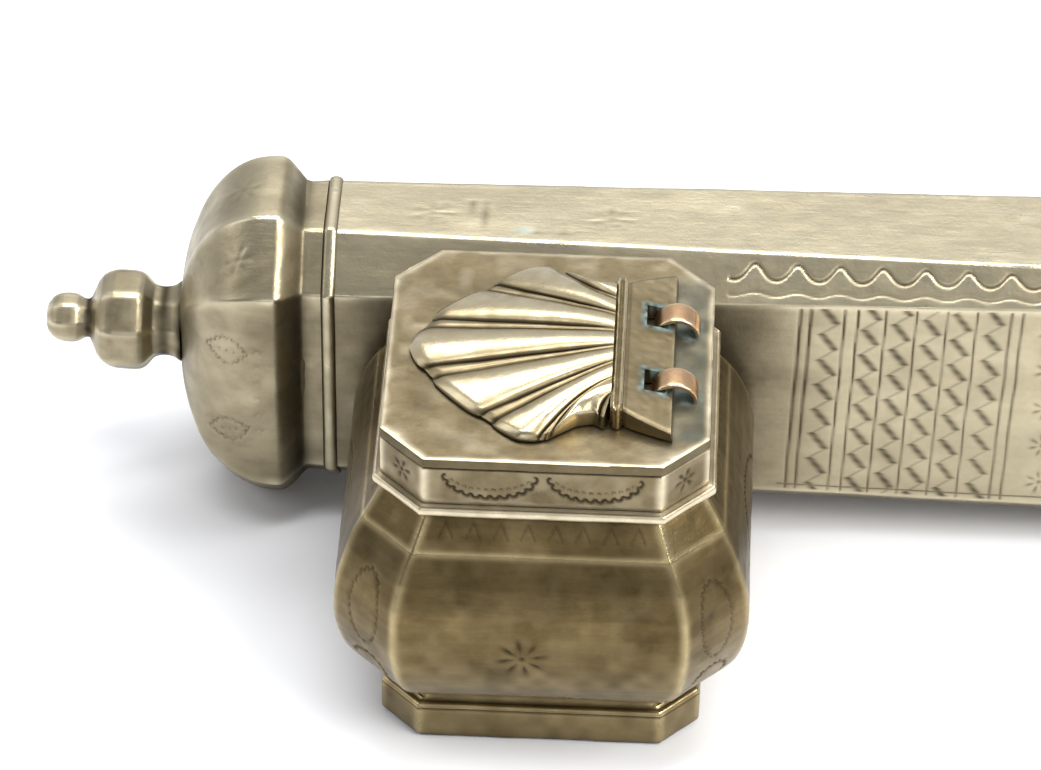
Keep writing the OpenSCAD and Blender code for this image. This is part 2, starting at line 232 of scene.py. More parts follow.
def normals(P, wrap):
    du = np.gradient(P, axis=0)
    if wrap:
        dv = (np.roll(P, -1, axis=1) - np.roll(P, 1, axis=1)) / 2
    else:
        dv = np.gradient(P, axis=1)
    n = np.cross(du, dv)
    length = np.linalg.norm(n, axis=2, keepdims=True)
    return n / np.maximum(length, 1e-9)


def build(name, P, wrap, material, body, nodes, attrs, flip=False, ends=(False, False), smooth=40):
    """A mesh from a grid of points in millimetres, with per-point attributes."""
    m, n = P.shape[:2]
    verts = (P.reshape(-1, 3) * MM).tolist()
    i = np.arange(m - 1)[:, None]
    j = np.arange(n if wrap else n - 1)[None, :]
    a, b = i * n + j, i * n + (j + 1) % n
    quads = np.stack([a, b, b + n, a + n], axis=-1).reshape(-1, 4)
    if flip:
        quads = quads[:, ::-1]
    faces = quads.tolist()
    for end, row in zip(ends, (0, m - 1)):
        if end:
            ring = [row * n + k for k in range(n)]
            faces.append(ring if (row == 0) == flip else ring[::-1])
    mesh = bpy.data.meshes.new(name)
    mesh.from_pydata(verts, [], faces)
    mesh.update()
    for key, val in attrs.items():
        at = mesh.attributes.new(key, "FLOAT", "POINT")
        at.data.foreach_set("value", np.clip(np.asarray(val, np.float32).reshape(-1), -4, 4))
    o = bpy.data.objects.new(name, mesh)
    bpy.context.collection.objects.link(o)
    mesh.materials.append(MATERIALS[material])
    mesh.polygons.foreach_set("use_smooth", [True] * len(mesh.polygons))
    mesh.set_sharp_from_angle(angle=math.radians(smooth))
    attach(o, body)
    if nodes:
        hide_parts(*nodes)
    return o


# ---------------------------------------------------------------- materials


def srgb(r, g, b):
    """Linear colour from 8-bit sRGB values."""
    return tuple(((c / 255) / 12.92 if c / 255 <= 0.04045 else ((c / 255 + 0.055) / 1.055) ** 2.4)
                 for c in (r, g, b)) + (1,)


def brass(name, light, mid, dark, worn_tone, rough, patina=0.5, scratch=0.5, stretch=(1, 1, 1)):
    """Aged brass: the wear value brightens and the grime value darkens, for real wear and grime and also as
    painted light and painted shade where the meshes set them so; cloudy tarnish and fine scratches in
    between.
    """
    m = bpy.data.materials.new(name)
    m.use_nodes = True
    t = m.node_tree
    t.nodes.clear()
    N = t.nodes.new
    L = t.links.new
    out = N("ShaderNodeOutputMaterial")
    bsdf = N("ShaderNodeBsdfPrincipled")
    L(bsdf.outputs[0], out.inputs[0])
    bsdf.inputs["Metallic"].default_value = 1.0
    co = N("ShaderNodeTexCoord")

    def noise(scale, detail=4.0, rough_=0.55, mapping=None):
        n = N("ShaderNodeTexNoise")
        n.inputs["Scale"].default_value = scale
        n.inputs["Detail"].default_value = detail
        n.inputs["Roughness"].default_value = rough_
        if mapping:
            mp = N("ShaderNodeMapping")
            mp.inputs["Scale"].default_value = mapping
            L(co.outputs["Object"], mp.inputs["Vector"])
            L(mp.outputs[0], n.inputs["Vector"])
        else:
            L(co.outputs["Object"], n.inputs["Vector"])
        return n.outputs["Fac"]

    def ramp(src, lo, hi, a=0.0, b=1.0):
        r = N("ShaderNodeMapRange")
        L(src, r.inputs["Value"])
        for k, v in zip(("From Min", "From Max", "To Min", "To Max"), (lo, hi, a, b)):
            r.inputs[k].default_value = v
        return r.outputs[0]

    def mix(fac, a, b):
        x = N("ShaderNodeMix")
        x.data_type = "RGBA"
        for sock, val in ((x.inputs[0], fac), (x.inputs[6], a), (x.inputs[7], b)):
            if isinstance(val, (tuple, float, int)):
                sock.default_value = val
            else:
                L(val, sock)
        return x.outputs[2]

    def math_(op, a, b, clamp=True):
        x = N("ShaderNodeMath")
        x.operation = op
        x.use_clamp = clamp
        for sock, val in zip(x.inputs, (a, b)):
            if isinstance(val, (float, int)):
                sock.default_value = val
            else:
                L(val, sock)
        return x.outputs[0]

    def attr(key):
        x = N("ShaderNodeAttribute")
        x.attribute_name = key
        return x.outputs["Fac"]

    wear_and_light, grime_and_shade, green = attr("wear_and_light"), attr("grime_and_shade"), attr("green")
    cloud = ramp(noise(150.0, 5.0, 0.6), 0.34, 0.68)
    blotch = ramp(noise(520.0, 6.0, 0.65), 0.38, 0.70)
    fine = ramp(noise(2600.0, 3.0, 0.6), 0.35, 0.70)
    streak = ramp(noise(900.0, 4.0, 0.7, stretch), 0.30, 0.72)
    tone = math_("ADD", math_("MULTIPLY", cloud, 0.45), math_("MULTIPLY", blotch, 0.30))
    tone = math_("ADD", tone, math_("MULTIPLY", streak, 0.30))
    base = mix(tone, mid, light)
    dirt = math_("MULTIPLY", math_("MULTIPLY", math_("SUBTRACT", 1.0, cloud), blotch), patina)
    base = mix(dirt, base, dark)
    worn = math_("MULTIPLY", wear_and_light, ramp(blotch, 0.0, 1.0, 0.75, 1.0))
    base = mix(worn, base, worn_tone)
    base = mix(math_("MULTIPLY", grime_and_shade, 0.92), base, dark)
    base = mix(math_("MULTIPLY", green, ramp(blotch, 0.0, 1.0, 0.5, 1.0)), base, srgb(126, 158, 158))
    L(base, bsdf.inputs["Base Color"])
    r = math_("ADD", math_("MULTIPLY", math_("SUBTRACT", 1.0, tone), 0.16), rough)
    r = math_("ADD", r, math_("MULTIPLY", grime_and_shade, 0.25))
    r = math_("ADD", r, math_("MULTIPLY", green, 0.45))
    r = math_("SUBTRACT", r, math_("MULTIPLY", wear_and_light, 0.10))
    L(r, bsdf.inputs["Roughness"])
    L(math_("SUBTRACT", 1.0, math_("MULTIPLY", green, 0.8)), bsdf.inputs["Metallic"])
    b1 = N("ShaderNodeBump")
    b1.inputs["Strength"].default_value = 0.10 * scratch * 2
    b1.inputs["Distance"].default_value = 0.00012
    L(math_("ADD", math_("MULTIPLY", streak, 0.6), math_("MULTIPLY", fine, 0.3), clamp=False),
      b1.inputs["Height"])
    b2 = N("ShaderNodeBump")
    b2.inputs["Strength"].default_value = 0.07
    b2.inputs["Distance"].default_value = 0.0004
    L(cloud, b2.inputs["Height"])
    L(b1.outputs[0], b2.inputs["Normal"])
    L(b2.outputs[0], bsdf.inputs["Normal"])
    return m


def silk_material():
    m = bpy.data.materials.new("ink_silk")
    m.use_nodes = True
    t = m.node_tree
    bsdf = t.nodes["Principled BSDF"]
    w = t.nodes.new("ShaderNodeTexNoise")
    w.inputs["Scale"].default_value = 900
    w.inputs["Detail"].default_value = 6
    co = t.nodes.new("ShaderNodeTexCoord")
    t.links.new(co.outputs["Object"], w.inputs["Vector"])
    x = t.nodes.new("ShaderNodeMix")
    x.data_type = "RGBA"
    x.inputs[6].default_value = (0.004, 0.004, 0.006, 1)
    x.inputs[7].default_value = (0.03, 0.028, 0.032, 1)
    t.links.new(w.outputs["Fac"], x.inputs[0])
    t.links.new(x.outputs[2], bsdf.inputs["Base Color"])
    bsdf.inputs["Roughness"].default_value = 0.7
    return m


MATERIALS = {
    "lid": brass("aged_brass_lid", srgb(136, 123, 96), srgb(104, 92, 67), srgb(34, 28, 18),
                 srgb(212, 200, 172), 0.31, 0.5, 0.6, (1, 1, 1)),
    "well": brass("aged_brass_well", srgb(116, 100, 68), srgb(80, 67, 42), srgb(30, 24, 14),
                  srgb(170, 154, 116), 0.28, 0.6, 0.9, (0.12, 0.12, 1)),
    "case": brass("aged_brass_case", srgb(164, 154, 128), srgb(134, 123, 98), srgb(44, 37, 26),
                  srgb(200, 190, 162), 0.30, 0.4, 0.9, (0.1, 1, 1)),
    "shell": brass("aged_brass_shell", srgb(172, 158, 125), srgb(128, 112, 80), srgb(36, 28, 17),
                   srgb(206, 194, 162), 0.23, 0.35, 0.4, (0.3, 1, 1)),
    "copper": brass("worn_copper", srgb(186, 146, 106), srgb(128, 90, 60), srgb(48, 32, 20),
                    srgb(224, 196, 158), 0.24, 0.3, 0.4, (1, 1, 1)),
    "silk": silk_material(),
}

# ---------------------------------------------------------------- inkwell


def loft_well(name, levels, spacing, nodes, material, pattern=None, wall=1.2, back=BACK, arris=0.5, arc=5,
              close=True):
    """Octagonal band through levels [z, half, cut], with its inner face and engraving by pattern."""
    levels = np.array(levels, float)
    arc_len = np.concatenate([[0], np.cumsum(np.hypot(np.diff(levels[:, 0]), np.diff(levels[:, 1])))])
    rows = max(4, int(arc_len[-1] / spacing))
    s = np.linspace(0, arc_len[-1], rows)
    z = np.interp(s, arc_len, levels[:, 0])
    h = np.interp(s, arc_len, levels[:, 1])
    c = np.interp(s, arc_len, levels[:, 2])
    V0 = octagon(h.max(), c[h.argmax()], back)
    lengths = [np.linalg.norm(V0[(k + 1) % 8] - V0[k]) for k in range(8)]
    fine = [1, 1, 0.35, 0.12, 0.35, 1, 1, 1]
    counts = [max(3, int(L / spacing * f)) for L, f in zip(lengths, fine)]
    P, S, A, W = [], [], [], []
    for zi, hi, ci in zip(z, h, c):
        V = octagon(hi, ci, back)
        p, sd, al = rounded(V, arris, counts, arc)
        P.append(np.column_stack([p, np.full(len(p), zi)]))
        S.append(sd)
        A.append(al)
        W.append(corner_wear(V, p, 0.62))
    P, S, A, W = np.array(P), np.array(S), np.array(A), np.array(W)
    Nn = normals(P, True)
    if np.mean(np.sum(Nn[:, :, :2] * P[:, :, :2], axis=2)) < 0:
        Nn = -Nn
    Z = np.broadcast_to(z[:, None], A.shape)
    g, wear_and_light = (pattern(S, A, Z) if pattern else (np.zeros_like(A), np.zeros_like(A)))
    hand = 0.05 * noise2(A * 0.25 + S * 9, Z * 0.3, 3) + 0.02 * noise2(A * 0.9 + S * 5, Z * 0.9, 4)
    inner_ok = P[:, :, 1] < back - 0.3
    d = np.where(inner_ok, -WELL_ENGRAVING * g + hand - 0.05, 0)
    P = P + Nn * d[:, :, None]
    W = unit(W * 0.9 + wear_and_light + 0.15 * noise2(A * 0.6 + S, Z * 0.6, 8)) * (1 - g)
    if close:
        inside = []
        for zi, hi, ci in ((z[-1], h[-1], c[-1]), (z[len(z) // 2], h[len(h) // 2], c[len(c) // 2]),
                           (z[0], h[0], c[0])):
            V = octagon(hi - wall, ci - 0.586 * wall, back - wall)
            p, _, _ = rounded(V, arris, counts, arc)
            inside.append(np.column_stack([p, np.full(len(p), zi)]))
        P = np.concatenate([P, np.array(inside), P[:1]])
        pad = np.zeros((4, P.shape[1]))
        g = np.concatenate([g, pad + [[0.2], [0.7], [0.5], [0.0]]])
        W = np.concatenate([W, pad])
    return build(name, P, True, material, "case", nodes, {"wear_and_light": W, "grime_and_shade": unit(g * 0.85), "green": g * 0})


def skirt_pattern(S, A, Z):
    """Punched swags and flowers on the skirt."""
    g = np.zeros_like(A)
    z0, z1 = SKIRT[0][2], SKIRT[1][2]
    top = 0.9 * line(Z - (z1 - 0.25), 0.13)
    front = S == 7
    for c in (-5.7, 5.7):
        path = [(c + 4.7 * math.cos(t), z0 + 4.0 - 2.7 * math.sin(t)) for t in np.linspace(0.1, math.pi - 0.1,
                14)]
        g = np.maximum(g, np.where(front, crescents(A, Z, path, 1.0, 0.46, 0.2, 90), 0))
        low = [(c + 4.4 * math.cos(t), z0 + 3.9 + -1.8 * math.sin(t)) for t in np.linspace(0.3, math.pi - 0.3,
                12)]
        g = np.maximum(g, 0.5 * np.where(front, crescents(A, Z, low, 0.8, 0.2, 0.1, 270), 0))
    for k in (0, 6):
        g = np.maximum(g, np.where(S == k, rosette(A, Z, (0, z0 + 2.6), 1.6, 6, 0.25), 0))
    for k in (1, 5):
        for c in (-6.5, 6.5):
            path = [(c + 4.6 * math.cos(t), z0 + 3.9 - 2.6 * math.sin(t))
                    for t in np.linspace(0.15, math.pi - 0.15, 14)]
            g = np.maximum(g, np.where(S == k, crescents(A, Z, path, 0.82, 0.33, 0.13, 90), 0))
    g = np.maximum(g, top)
    wear_and_light = 0.5 * bell(Z - z0, 0.5) + 0.8 * bell(Z - z1, 0.22)
    return g, wear_and_light


def body_pattern(S, A, Z):
    """Flower on the front, ovals and leaves on the sides, worn bands at the neck ridge and low down, a dark
    line above the foot, painted shade over the top of the body and a painted floor reflection lightening its
    lower half.
    """
    g = np.zeros_like(A)
    g = np.maximum(g, np.where(S == 7, rosette(A, Z, (1.8, 17.3), 3.2, 8, 0.35), 0))
    for k in (0, 6):
        oval = [(2.5 * math.cos(t), 21 + 5.2 * math.sin(t)) for t in np.linspace(0, 2 * math.pi, 26)]
        g = np.maximum(g, 0.55 * np.where(S == k, crescents(A, Z, oval, 0.95, 0.34, 0.13, 90), 0))
        leaf = [(2.6 * math.cos(t), 12.2 + 2.2 * math.sin(t)) for t in np.linspace(0.3, math.pi * 1.7, 12)]
        g = np.maximum(g, np.where(S == k, crescents(A, Z, leaf, 0.95, 0.34, 0.13, 90), 0))
    for k in (1, 5):
        g = np.maximum(g, np.where(S == k, rosette(A, Z, (0, 14.5), 2.8, 8, 0.35), 0))
        oval = [(9 * math.cos(t), 18.5 + 6.2 * math.sin(t)) for t in np.linspace(0, 2 * math.pi, 50)]
        g = np.maximum(g, np.where(S == k, crescents(A, Z, oval, 0.95, 0.34, 0.13, 90), 0))
    ridge = bell(Z - NECK[0][2], 0.35)
    low = bell(Z - 9.0, 0.9)
    # painted shade: the broad dark band under the neck stands for shade on the top of the body; the narrow
    # band at 6.2 mm is a dark joint line
    dark = 0.55 * bell(Z - (NECK[0][2] - 2.2), 2.2) + 0.8 * bell(Z - 6.2, 0.55)
    # painted floor reflection: the lower body is lightened through the wear value
    painted_floor_reflection = 0.30 * unit((19.0 - Z) / 9.0)
    # the last grime term darkens the top of the body further as painted shade
    return unit(g + 0.35 * dark + 0.10 * unit((Z - 22) / 6)), 0.9 * ridge + 0.55 * low + painted_floor_reflection


def neck_pattern(S, A, Z):
    """Row of faint chevrons and the dark joint under the lid."""
    z0, z1 = NECK[0][2], NECK[1][2]
    dark = bell(Z - z1, 0.5)
    tri = np.zeros_like(A)
    for i in range(8):
        c = -10.5 + 3 * i
        for s in (-1, 1):
            tri = np.maximum(tri, 0.35 * segment(A, Z, (c, z1 - 1.0), (c + s * 0.8, z0 + 1.6), 0.12))
    tri = np.where((S == 7) | (S == 1) | (S == 5), tri, 0)
    return unit(0.5 * dark + tri), 0.8 * bell(Z - z0, 0.35)


def bead_levels():
    """Half-round section of the bead under the skirt."""
    z0, z1 = BEAD[0][2], BEAD[1][2]
    out = []
    for t in np.linspace(0, math.pi, 13):
        o = 0.3 + 0.55 * math.sin(t)
        out.append([z0 + (z1 - z0) * (1 - math.cos(t)) / 2, LID_HALF + o, LID_CUT + 0.586 * o])
    return out


loft_well("skirt", [[SKIRT[0][2], LID_HALF - 0.02, LID_CUT], [SKIRT[1][2], LID_HALF - 0.02, LID_CUT]], 0.13,
          ["lid_skirt"],
          "lid", skirt_pattern, back=99, arris=0.45)
# the bead's crown is brightened through the wear value, partly wear and partly a painted highlight
loft_well("bead", bead_levels(), 0.12, ["skirt_bead"], "lid",
          lambda S, A, Z: (0.6 * line(Z - (BEAD[0][2] + 0.05), 0.09) + 0.6 * line(Z - (BEAD[1][2] - 0.04),
                  0.09),
                           bell(Z - BEAD[0][2] - 0.85, 0.75)), back=18.3, arris=0.5)
loft_well("neck", [[NECK[0][2], 20.0, 5.9], [NECK[1][2], LID_HALF - 0.5, LID_CUT]], 0.2, ["well_neck"],
          "well", neck_pattern)
BODY = [[29.7, 20.05, 5.9], [28.2, 20.85, 6.1], [26.2, 21.65, 6.3], [23, 22.6, 6.6], [21, 22.95, 6.8],
        [19.5, 23.08, 6.9],
        [17.6, 23.08, 6.9], [16, 22.95, 6.9], [14.4, 22.65, 6.75], [13, 22.3, 6.6], [11.7, 21.85, 6.4],
        [10.6, 21.3, 6.2],
        [9.6, 20.7, 5.95], [8.8, 20.1, 5.7], [8.2, 19.5, 5.4], [7.6, 18.8, 5.1], [7.1, 18.2, 4.8],
        [6.6, 17.5, 4.6],
        [6.2, 17.25, 4.4], [FOOT[1][2], 17.2, 4.3]]
loft_well("body", BODY[::-1], 0.24, ["well_body"], "well", body_pattern, wall=1.3, arris=0.7)
# the foot's even wear of 0.34 is painted light, standing for the floor's reflection; the narrow wear band at
# 4.8 mm is on the upper rim
loft_well("foot", [[0.0, 17.8, 4.3], [0.35, 18.0, 4.3], [4.5, 18.0, 4.3], [4.9, 17.85, 4.2], [5.2, 17.5, 4.1],
                   [FOOT[1][2], 17.1, 3.9]],
          0.2, ["well_foot"], "well",
          lambda S, A, Z: (0.8 * line(Z - 4.3, 0.14) + 0.7 * line(Z - 5.25, 0.1) + 0.75 * bell(Z, 0.5),
                           0.34 + 0.2 * bell(Z - 4.8, 0.3)),
          wall=1.8, back=99, arris=0.6)


def lid_top():
    """The lid plate: a dense top with a soft edge, and its underside, pierced by the dipping hole."""
    rows = []
    V = octagon(LID_HALF - 0.02, LID_CUT)
    counts = [24, 90, 24, 90, 24, 90, 24, 90]
    edge, _, _ = rounded(V, 0.45, counts, 5)
    n = len(edge)
    ang = np.arctan2(edge[:, 1], edge[:, 0] - PORT_X)
    hole = np.column_stack([PORT_X + PORT_R * np.cos(ang), PORT_R * np.sin(ang)])
    bot = LID[0][2]
    rows.append(np.column_stack([hole, np.full(n, bot)]))
    rows.append(np.column_stack([PORT_X + (hole[:, 0] - PORT_X) * 1.0, hole[:, 1],
                                 np.full(n, WELL_H - 0.25)]))
    rows.append(np.column_stack([PORT_X + (hole[:, 0] - PORT_X) * 1.035, hole[:, 1] * 1.035,
                                 np.full(n, WELL_H)]))
    steps = 70
    start = np.column_stack([PORT_X + (hole[:, 0] - PORT_X) * 1.05, hole[:, 1] * 1.05])
    for i in range(steps + 1):
        t = i / steps
        p = start * (1 - t) + edge * 0.985 * t
        rows.append(np.column_stack([p, np.full(n, WELL_H)]))
    for o, dz in ((0.989, -0.02), (0.994, -0.07), (0.998, -0.16), (1.0, -0.3)):
        rows.append(np.column_stack([edge * o, np.full(n, WELL_H + dz)]))
    rows.append(np.column_stack([edge, np.full(n, bot)]))
    rows.append(np.column_stack([edge * 0.93, np.full(n, bot)]))
    rows.append(np.column_stack([hole, np.full(n, bot)]))
    P = np.array(rows)
    x, y = P[:, :, 0], P[:, :, 1]
    top = (P[:, :, 2] > WELL_H - 0.1)
    dent = 0.05 * noise2(x * 0.22, y * 0.22, 11) + 0.02 * noise2(x * 0.8, y * 0.8, 12) - 0.075
    P[:, :, 2] += np.where(top, dent, 0)
    h = np.maximum(np.abs(x), np.abs(y))
    h = np.maximum(h, (np.abs(x) + np.abs(y) + LID_CUT) / 2)
    rim = bell(h - LID_HALF, 0.5)
    around = np.exp(-np.maximum(0,
                                np.hypot(np.maximum(0, np.abs(x + 1) - 12),
                                         np.maximum(0, np.abs(y) - 12))) / 1.2)
    tail = unit((x - SHELL[1][0] + 1.2) / 0.8) * unit((17.6 - x) / 0.6) * unit((15.5 - np.abs(y)) / 2.5)
    tail = tail * (0.75 + 0.25 * noise2(x * 0.7, y * 0.7, 13))
    green = 0.15 * tail
    for s in STRAPS:
        cy = (s[0][1] + s[1][1]) / 2
        d = np.hypot((x - SHELL[1][0] - 1.5) / 1.6, (y - cy) / 2.2)
        green = np.maximum(green, unit(1.3 - d) * (0.6 + 0.4 * noise2(x * 3, y * 3, 5)))
    grime_and_shade = unit(0.28 * around + tail + 0.25 * noise2(x * 0.35, y * 0.35, 6)) * top
    grime_and_shade = np.maximum(grime_and_shade, (~top) * 0.4)
    wear_and_light = unit(rim + 0.25 * noise2(x * 0.5, y * 0.5, 7)) * top
    build("lid_plate_top", P, True, "lid", "case", ["lid_plate"],
          {"wear_and_light": wear_and_light, "grime_and_shade": grime_and_shade * 0.7, "green": unit(green * 1.1)})


lid_top()

# ---------------------------------------------------------------- shell cover

HX, HZ = SHELL[1][0], SHELL[0][2]
BAR0, BAR1 = HX - 6.9, HX - 5.6
FAN = 7


def shell_outline(s):
    """Edge of the fan at s from -1 (front) to 1 (back)."""
    key = np.array([[-1.0, 6.3, -12.2], [-0.93, 5.2, -11.4], [-0.86, 3.3, -11.9], [-0.78, 1.6, -13.2],
                    [-0.70, -0.4, -14.85],
                    [-0.60, -2.9, -14.5], [-0.48, -5.4, -12.8], [-0.36, -8.3, -10.3], [-0.2, -12.3, -6.0],
                    [-0.08, -14.7, -2.4],
                    [0.0, -15.45, 0.0], [0.09, -14.9, 2.6], [0.22, -12.7, 6.4], [0.36, -9.2, 9.6],
                    [0.48, -6.4, 11.9],
                    [0.58, -3.6, 13.9], [0.68, -0.6, 14.9], [0.78, 1.7, 13.0], [0.87, 3.9, 10.9],
                    [0.94, 5.4, 10.1],
                    [1.0, 6.6, 9.8]])
    return np.stack([np.interp(s, key[:, 0], key[:, 1]), np.interp(s, key[:, 0], key[:, 2])], axis=-1)


def shell():
    cols, rows = 340, 130
    s = np.linspace(-1, 1, cols)
    edge = shell_outline(s)
    for _ in range(6):
        edge[1:-1] = (edge[:-2] + 2 * edge[1:-1] + edge[2:]) / 4
    phase = (s * FAN / 2 + 0.5) % 1
    d = np.abs(phase - 0.5) * 2
    broad = np.sqrt(unit(1 - (d / 0.80) ** 2))
    small = np.where(d > 0.78, 0.42 * np.sin(math.pi * unit((d - 0.78) / 0.44)), 0)
    ribs = np.maximum(broad, small)
    scallop = 0.42 * broad - 0.30
    rad = edge - np.array([2.0, 0])
    edge = edge + rad / np.linalg.norm(rad, axis=1, keepdims=True) * np.where(np.abs(s) < 0.72, scallop, 0)[:,
            None]
    root = np.column_stack([np.full(cols, BAR0), s * 9.6 - 0.7 * (1 - np.abs(s))])
    u = np.linspace(0, 1, rows)[:, None]
    bow = (1 - np.abs(s) ** 8)[:, None]
    arched = np.column_stack([root[:, 0] - 4.0, root[:, 1] * 1.05 + (edge[:, 1] - root[:, 1]) * 0.25])
    mid = arched * bow + (root + edge) / 2 * (1 - bow)
    XY = (root[None] * ((1 - u) ** 2)[..., None] + mid[None] * (2 * u * (1 - u))[..., None] + edge[None]
          * (u ** 2)[..., None])
    x, y = XY[..., 0], XY[..., 1]
    S = np.broadcast_to(s[None], x.shape)
    U = np.broadcast_to(u, x.shape)
    notch = unit((np.abs(S) - 0.70) / 0.16)
    low = 0.80 + 1.05 * notch * notch * (3 - 2 * notch)
    h = low + (3.55 - low) * (1 - U ** 2.1) ** 0.9 * (1 - 0.22 * np.abs(S) ** 2.2)
    R = np.broadcast_to(ribs[None], x.shape)
    D = np.broadcast_to(d[None], x.shape)
    deep = (0.35 + 0.65 * unit(U / 0.4)) * (1 - 0.55 * unit((U - 0.8) / 0.2))
    cut = 0.80 * deep * (1 - R)
    crease = 0.16 * bell(D - 0.79, 0.035) * unit(U * 3)
    round_edge = np.where(U > 0.955, ((U - 0.955) / 0.045) ** 2 * 0.45, 0)
    z = HZ + np.maximum(h - cut - crease - round_edge, 0.25)
    V = 1 - R
    top = np.stack([x, y, z], axis=-1)
    g = unit(0.9 * V ** 2.2 * (D < 0.9) + 0.9 * bell(D - 0.79, 0.05) * unit(U * 3)
                + 0.25 * V * (D >= 0.9))
    wear_and_light = unit(R ** 3 * 0.85 + 0.2 * noise2(x * 0.9, y * 0.9, 21))
    # side wall down to the lid and the flat underside, back to the root
    wall = np.stack([np.stack([x[-1], y[-1], np.full(cols, HZ + 0.02)], axis=-1)])
    under = np.stack([x[0], y[0], np.full(cols, HZ + 0.02)], axis=-1)[None]
    P = np.concatenate([top, wall, under, top[:1]])
    zero = np.zeros((3, cols))
    wear_and_light, g = np.concatenate([wear_and_light, zero]), np.concatenate([g, zero + 0.5])
    P = np.concatenate([P[:, :1], P, P[:, -1:]], axis=1)
    P[:, 0, 2] = P[:, -1, 2] = HZ + 0.02
    wear_and_light = np.pad(wear_and_light, ((0, 0), (1, 1)))
    g = np.pad(g, ((0, 0), (1, 1)), constant_values=0.6)
    build("shell_fan", P, False, "shell", "shell", ["shell_cover"],
          {"wear_and_light": wear_and_light, "grime_and_shade": g, "green": g * 0}, smooth=50)


def shell_tail():
    """Cross bar with two raised lines and the flaring tail, pierced by two slots."""
    ys = [(s[0][1] + s[1][1]) / 2 for s in STRAPS]
    half = (STRAPS[0][1][1] - STRAPS[0][0][1]) / 2 + 0.15
    x0, x1 = HX - 3.4, HX - 1.0

    def height(x):
        t = (x - BAR0) / (BAR1 - BAR0)
        if t <= 1.0:
            ridge = 0.35 * (math.exp(-(((t - 0.24) / 0.15) ** 2)) + math.exp(-(((t - 0.76) / 0.15) ** 2)))
            return 2.95 + ridge
        d = (x - BAR1) / (HX - BAR1)
        return (2.45 + (1.25 - 2.45) * d) * min(1.0, (HX - x) / 0.27)

    xs = list(np.linspace(BAR0 - 0.02, BAR1, 26)) + [BAR1 + 0.05] + list(np.linspace(BAR1 + 0.2, x0, 14))
    xs += list(np.linspace(x0 + 0.02, x1 - 0.02, 14))
    xs += list(np.linspace(x1, HX - 0.27, 9)) + [HX - 0.2, HX - 0.12, HX - 0.04]
    ny = 120

    def half_width(x, side):
        if x <= BAR1:
            t = (x - BAR0) / (BAR1 - BAR0)
            return (11.55 if side < 0 else 9.8) + 0.55 * math.sin(math.pi * min(max(t, 0), 1))
        d = (x - BAR1) / (HX - BAR1)
        return (11.4 + 2.45 * d ** 0.8) if side < 0 else (10.2 + 3.2 * d ** 0.8)

    pieces = []
    # one strip between each pair of slot edges, so that the slots are open right through
    cuts = [None, ys[0] - half, ys[0] + half, ys[1] - half, ys[1] + half, None]
    for k in range(5):
        lo, hi = cuts[k], cuts[k + 1]
        in_slot = k in (1, 3)
        for part in ((xs[: 26 + 1 + 14], "a"), (xs[26 + 14: 26 + 1 + 14 + 14 + 1], "b"),
                     (xs[26 + 1 + 14 + 13:], "c")):
            if in_slot and part[1] == "b":
                continue
            top, bot = [], []
            m = max(6, int(ny * ((hi if hi is not None else 12) - (lo if lo is not None else -12)) / 24))
            for x in part[0]:
                a = lo if lo is not None else -half_width(x, -1)
                b = hi if hi is not None else half_width(x, 1)
                y = np.linspace(a, b, m)
                hgt = height(x)
                ripple = 0.03 * (noise2(np.full(m, x * 1.3), y * 1.3, 31) - 1) * min(1.0, hgt)
                z = np.full(m, HZ + hgt) + ripple
                if lo is None:
                    z = z - 0.25 * bell(y - a, 0.2)
                if hi is None:
                    z = z - 0.25 * bell(y - b, 0.2)
                top.append(np.column_stack([np.full(m, x), y, z]))
                bot.append(np.column_stack([np.full(m, x), y, np.full(m, HZ + 0.02)]))
            top, bot = np.array(top), np.array(bot)
            P = np.concatenate([top, bot[:, ::-1]], axis=1)
            x, y, z = P[..., 0], P[..., 1], P[..., 2]
            lit = z > HZ + 0.5
            d_edge = np.minimum(np.abs(x - HX), 9)
            near = np.minimum.reduce([np.hypot(np.maximum(0, np.abs(x - (x0 + x1) / 2) - 1.2),
                                               np.maximum(0, np.abs(y - yy) - half))
                                      for yy in ys])
            ridge_dip = bell(x - (BAR0 + BAR1) / 2, 0.16)
            ridge_dip = ridge_dip + bell(x - BAR1 - 0.15, 0.2)
            grime_and_shade = unit(0.55 * np.exp(-near / 0.7) + 0.7 * ridge_dip + 0.48 * (x > BAR1 + 0.3)) * lit
            wear_and_light = unit(bell(d_edge, 0.35) + 0.8 * (x < BAR1) * (1 - ridge_dip)) * lit
            green = unit(1.15 - near / 0.75) * unit(0.55 + 0.6 * noise2(x * 2.2, y * 2.2, 33)) * lit
            pieces.append((f"shell_tail_{k}{part[1]}", P, {"wear_and_light": wear_and_light, "grime_and_shade": grime_and_shade, "green": green}))
    for piece, P, at in pieces:
        build(piece, P, True, "shell", "shell", [], at, flip=True, ends=(True, True), smooth=35)


shell()
shell_tail()


